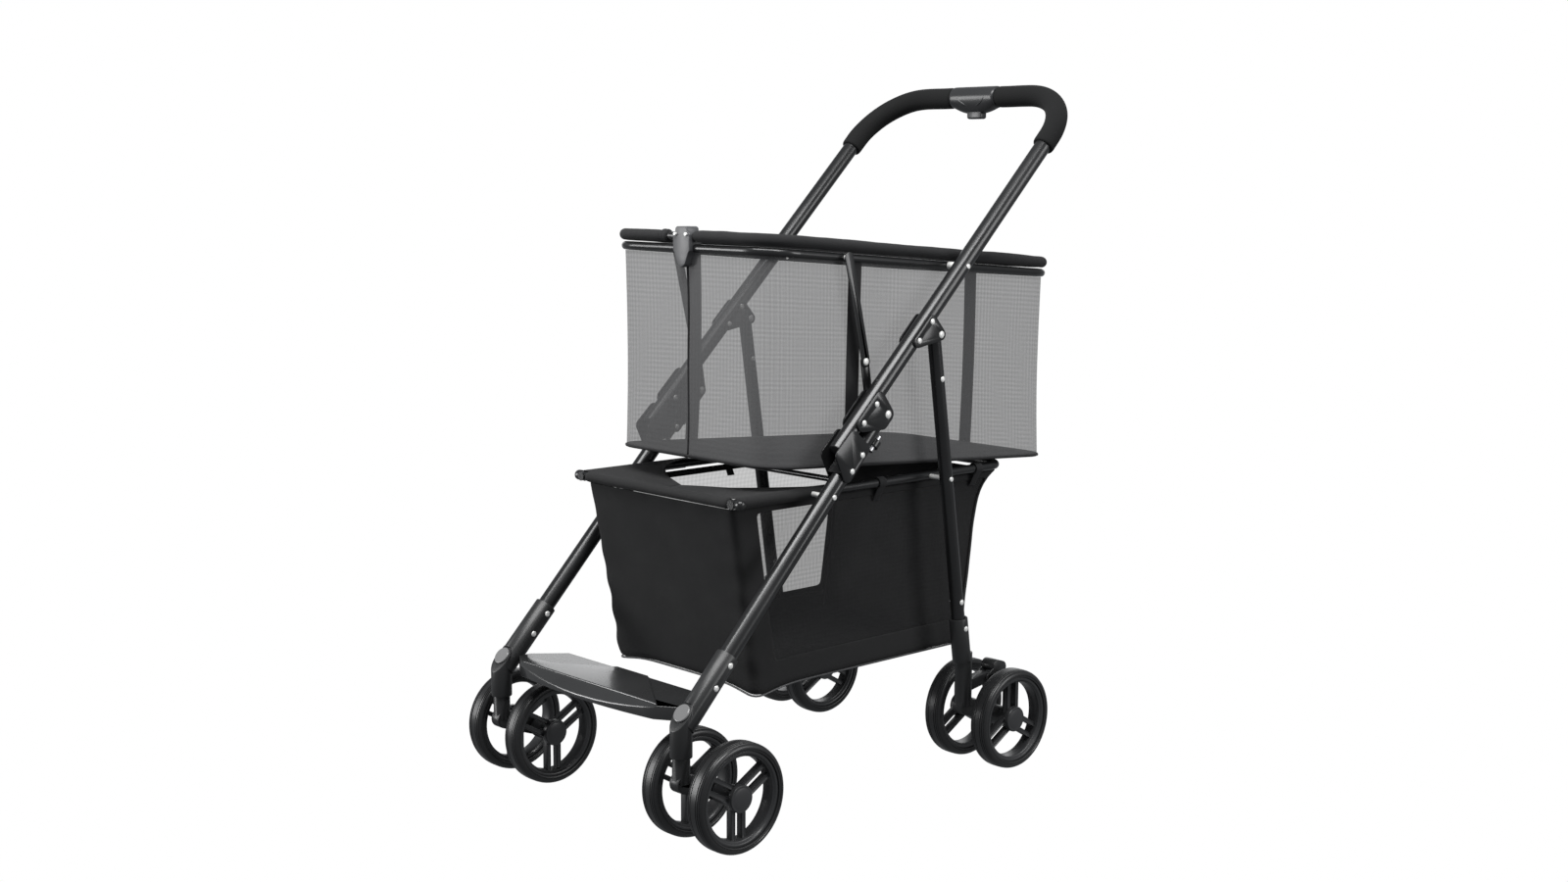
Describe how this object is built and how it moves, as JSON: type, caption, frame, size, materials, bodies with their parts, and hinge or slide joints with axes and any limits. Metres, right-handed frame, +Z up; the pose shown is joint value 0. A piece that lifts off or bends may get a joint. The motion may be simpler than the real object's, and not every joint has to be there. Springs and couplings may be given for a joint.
{
  "type": "pet stroller",
  "caption": "Folding pet stroller with an open-top mesh basket, a hanging cloth basket, a foam-grip handle, twin-wheel swivel casters in front and braked twin wheels behind.",
  "frame": {"origin": "on the floor, under the middle of the stroller's outer box", "axes": "+Z up; -Y is the front, where the tray and the swivel casters are; +Y is the rear, where the handle is; +X is the stroller's own left"},
  "size_m": [0.529, 0.829, 1.0258],
  "materials": {
    "frame_paint": "satin black enamel",
    "rivet_steel": "bright domed rivets",
    "pin_steel": "turned steel",
    "moulding": "fine matte black",
    "cap_grey": "light grey",
    "gloss_moulding": "smooth black",
    "foam": "soft black foam",
    "tread": "dull black",
    "mesh": "open dark grey mesh",
    "bag_cloth": "woven black cloth",
    "piping": "padded black piping"
  },
  "bodies": {
    "lower_frame": {"lower_tube_left": "frame_paint", "lower_tube_right": "frame_paint", "stem_housing_left": "moulding", "stem_housing_right": "moulding", "stem_caps": "cap_grey", "front_tray": "gloss_moulding", "hinge_saddles": "frame_paint", "knee_levers": "frame_paint", "latch_guides": "moulding", "brace_rod": "frame_paint", "frame_rivets": "rivet_steel"},
    "handle_frame": {"handle_tube": "frame_paint", "foam_grip": "foam", "trigger_housing": "moulding", "hinge_plates": "frame_paint", "leg_brackets": "frame_paint", "handle_rivets": "rivet_steel"},
    "trigger": {"fold_trigger": "gloss_moulding"},
    "rail_frame": {"basket_rail": "frame_paint", "front_bar": "frame_paint", "bar_nuts": "rivet_steel", "basket_loops": "piping", "lower_basket": "bag_cloth"},
    "basket_rim": {"upper_rim": "piping", "lower_rim": "frame_paint", "rim_bracket": "gloss_moulding", "rim_pins": "rivet_steel", "upper_basket": "mesh"},
    "leg_left": {"rear_leg_left": "frame_paint", "rear_leg_pins_left": "rivet_steel", "rear_housing_left": "moulding"},
    "strut_left": {"basket_strut_left": "frame_paint"},
    "bolt_left": {"latch_left": "pin_steel"},
    "pedal_left": {"brake_pedal_left": "gloss_moulding"},
    "caster_left": {"caster_fork_left": "moulding", "caster_axle_left": "pin_steel"},
    "leg_right": {"rear_leg_right": "frame_paint", "rear_leg_pins_right": "rivet_steel", "rear_housing_right": "moulding"},
    "strut_right": {"basket_strut_right": "frame_paint"},
    "bolt_right": {"latch_right": "pin_steel"},
    "pedal_right": {"brake_pedal_right": "gloss_moulding"},
    "caster_right": {"caster_fork_right": "moulding", "caster_axle_right": "pin_steel"},
    "front_left_outer_wheel": {"wheel_front_left_outer": "gloss_moulding", "tyre_front_left_outer": "tread"},
    "front_left_inner_wheel": {"wheel_front_left_inner": "gloss_moulding", "tyre_front_left_inner": "tread"},
    "front_right_outer_wheel": {"wheel_front_right_outer": "gloss_moulding", "tyre_front_right_outer": "tread"},
    "front_right_inner_wheel": {"wheel_front_right_inner": "gloss_moulding", "tyre_front_right_inner": "tread"},
    "rear_left_outer_wheel": {"wheel_rear_left_outer": "gloss_moulding", "tyre_rear_left_outer": "tread"},
    "rear_left_inner_wheel": {"wheel_rear_left_inner": "gloss_moulding", "tyre_rear_left_inner": "tread"},
    "rear_right_outer_wheel": {"wheel_rear_right_outer": "gloss_moulding", "tyre_rear_right_outer": "tread"},
    "rear_right_inner_wheel": {"wheel_rear_right_inner": "gloss_moulding", "tyre_rear_right_inner": "tread"}
  },
  "joints": [
    {"name": "fold", "type": "hinge", "parent": "lower_frame", "child": "handle_frame", "pos_m": [0, -0.0275, 0.5526], "axis": [-1, 0, 0], "range_deg": [0, 140], "deforming": ["upper_basket", "lower_basket"]},
    {"name": "rail_swing", "type": "hinge", "parent": "lower_frame", "child": "rail_frame", "pos_m": [0, -0.12949, 0.44549], "axis": [-1, 0, 0], "range_deg": [0, 90.1]},
    {"name": "rim_swing", "type": "hinge", "parent": "handle_frame", "child": "basket_rim", "pos_m": [0, 0.13867, 0.75445], "axis": [1, 0, 0], "range_deg": [0, 38.02]},
    {"name": "trigger_squeeze", "type": "slide", "parent": "handle_frame", "child": "trigger", "axis": [0, 0, 1], "range_m": [0, 0.005], "stiffness_N_per_m": 400},
    {"name": "leg_swing_left", "type": "hinge", "parent": "handle_frame", "child": "leg_left", "pos_m": [0.203, 0.0807, 0.65893], "axis": [1, 0, 0], "range_deg": [0, 108.58]},
    {"name": "strut_swing_left", "type": "hinge", "parent": "lower_frame", "child": "strut_left", "pos_m": [0.185, -0.0395, 0.625], "axis": [-1, 0, 0], "range_deg": [0, 163.18]},
    {"name": "latch_slide_left", "type": "slide", "parent": "lower_frame", "child": "bolt_left", "axis": [0, -0.6896, -0.7242], "range_m": [0, 0.0085]},
    {"name": "brake_left", "type": "hinge", "parent": "leg_left", "child": "pedal_left", "pos_m": [0.203, 0.205, 0.132], "axis": [-1, 0, 0], "range_deg": [0, 14]},
    {"name": "caster_swivel_left", "type": "hinge", "parent": "lower_frame", "child": "caster_left", "pos_m": [0.203, -0.3945, 0.1294], "axis": [0, 0, 1], "continuous": true},
    {"name": "leg_swing_right", "type": "hinge", "parent": "handle_frame", "child": "leg_right", "pos_m": [-0.203, 0.0807, 0.65893], "axis": [1, 0, 0], "range_deg": [0, 108.58]},
    {"name": "strut_swing_right", "type": "hinge", "parent": "lower_frame", "child": "strut_right", "pos_m": [-0.185, -0.0395, 0.625], "axis": [-1, 0, 0], "range_deg": [0, 163.18]},
    {"name": "latch_slide_right", "type": "slide", "parent": "lower_frame", "child": "bolt_right", "axis": [0, -0.6896, -0.7242], "range_m": [0, 0.0085]},
    {"name": "brake_right", "type": "hinge", "parent": "leg_right", "child": "pedal_right", "pos_m": [-0.203, 0.205, 0.132], "axis": [-1, 0, 0], "range_deg": [0, 14]},
    {"name": "caster_swivel_right", "type": "hinge", "parent": "lower_frame", "child": "caster_right", "pos_m": [-0.203, -0.3945, 0.1294], "axis": [0, 0, 1], "continuous": true},
    {"name": "spin_front_left_outer", "type": "hinge", "parent": "caster_left", "child": "front_left_outer_wheel", "pos_m": [0.249, -0.3395, 0.075], "axis": [1, 0, 0], "continuous": true},
    {"name": "spin_front_left_inner", "type": "hinge", "parent": "caster_left", "child": "front_left_inner_wheel", "pos_m": [0.157, -0.3395, 0.075], "axis": [1, 0, 0], "continuous": true},
    {"name": "spin_front_right_outer", "type": "hinge", "parent": "caster_right", "child": "front_right_outer_wheel", "pos_m": [-0.249, -0.3395, 0.075], "axis": [1, 0, 0], "continuous": true},
    {"name": "spin_front_right_inner", "type": "hinge", "parent": "caster_right", "child": "front_right_inner_wheel", "pos_m": [-0.157, -0.3395, 0.075], "axis": [1, 0, 0], "continuous": true},
    {"name": "spin_rear_left_outer", "type": "hinge", "parent": "leg_left", "child": "rear_left_outer_wheel", "pos_m": [0.249, 0.2135, 0.075], "axis": [1, 0, 0], "continuous": true},
    {"name": "spin_rear_left_inner", "type": "hinge", "parent": "leg_left", "child": "rear_left_inner_wheel", "pos_m": [0.157, 0.2135, 0.075], "axis": [1, 0, 0], "continuous": true},
    {"name": "spin_rear_right_outer", "type": "hinge", "parent": "leg_right", "child": "rear_right_outer_wheel", "pos_m": [-0.249, 0.2135, 0.075], "axis": [1, 0, 0], "continuous": true},
    {"name": "spin_rear_right_inner", "type": "hinge", "parent": "leg_right", "child": "rear_right_inner_wheel", "pos_m": [-0.157, 0.2135, 0.075], "axis": [1, 0, 0], "continuous": true}
  ],
  "couplings": [
    {"joint": "rail_swing", "follows": "fold", "ratio": 0.64},
    {"joint": "rim_swing", "follows": "fold", "ratio": 0.268},
    {"joint": "leg_swing_left", "follows": "fold", "ratio": 0.772},
    {"joint": "strut_swing_left", "follows": "fold", "ratio": 1.162},
    {"joint": "latch_slide_left", "follows": "trigger_squeeze", "ratio": 1.6},
    {"joint": "leg_swing_right", "follows": "fold", "ratio": 0.772},
    {"joint": "strut_swing_right", "follows": "fold", "ratio": 1.162},
    {"joint": "latch_slide_right", "follows": "trigger_squeeze", "ratio": 1.6}
  ]
}
